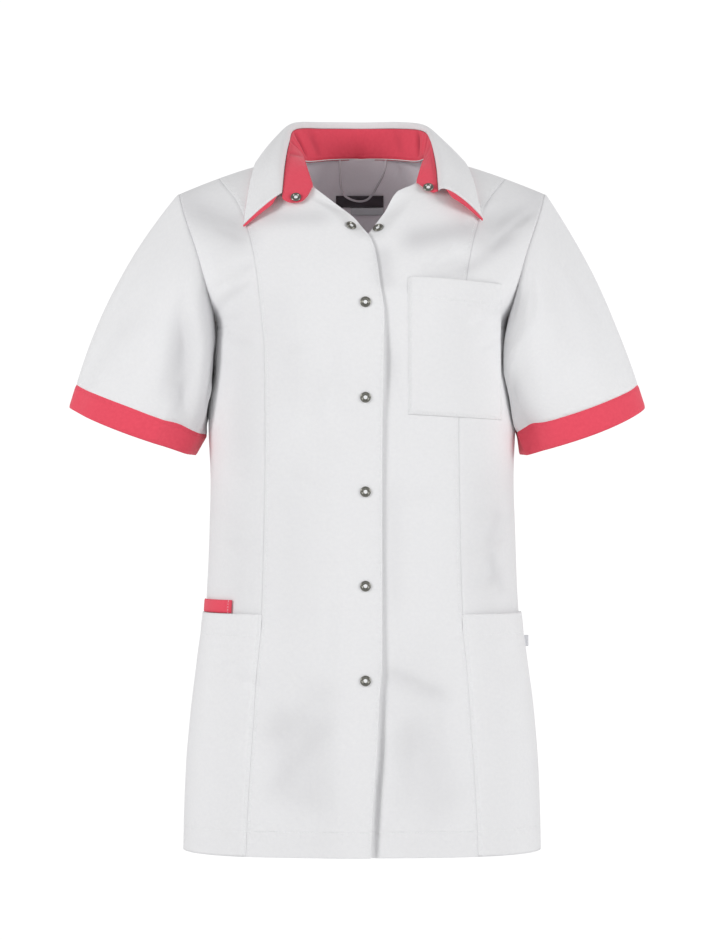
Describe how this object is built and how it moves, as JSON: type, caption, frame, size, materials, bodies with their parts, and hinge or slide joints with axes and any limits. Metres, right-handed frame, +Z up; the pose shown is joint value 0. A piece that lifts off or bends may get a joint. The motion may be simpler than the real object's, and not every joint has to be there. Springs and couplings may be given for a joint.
{
  "type": "medical jacket",
  "caption": "White women's short-sleeved medical jacket with coral cuffs and collar stand, ring snaps and patch pockets, filled out as worn.",
  "frame": {"origin": "middle of the neck hole, level with the points where the shoulder seams meet the collar, where the wearer's shoulders hold the jacket up", "axes": "+Z up, front facing -Y, the wearer's left at +X"},
  "size_m": [0.6247, 0.2478, 0.7977],
  "materials": {
    "white_cloth": "white polyester and cotton twill, matt",
    "coral_cloth": "coral polyester and cotton twill, matt",
    "dark_label": "dark woven satin label, blank",
    "snap_steel": "nickel-plated ring snap, slightly dulled"
  },
  "bodies": {
    "root": {"front_right_centre": "white_cloth", "front_left_centre": "white_cloth", "front_right_side": "white_cloth", "front_left_side": "white_cloth", "back": "white_cloth", "sleeve_right": "white_cloth", "sleeve_left": "white_cloth", "collar_fall": "white_cloth", "chest_pocket": "white_cloth", "side_pocket_right": "white_cloth", "side_pocket_left": "white_cloth", "size_label": "white_cloth", "side_label": "white_cloth", "hanger_loop": "white_cloth", "cuff_right": "coral_cloth", "cuff_left": "coral_cloth", "collar_stand": "coral_cloth", "collar_under": "coral_cloth", "pocket_loop": "coral_cloth", "neck_label": "dark_label", "snap_1": "snap_steel", "snap_2": "snap_steel", "snap_3": "snap_steel", "snap_4": "snap_steel", "snap_5": "snap_steel", "neck_snap": "snap_steel", "neck_stud": "snap_steel", "stand_snap": "snap_steel", "stand_stud": "snap_steel"}
  },
  "joints": []
}
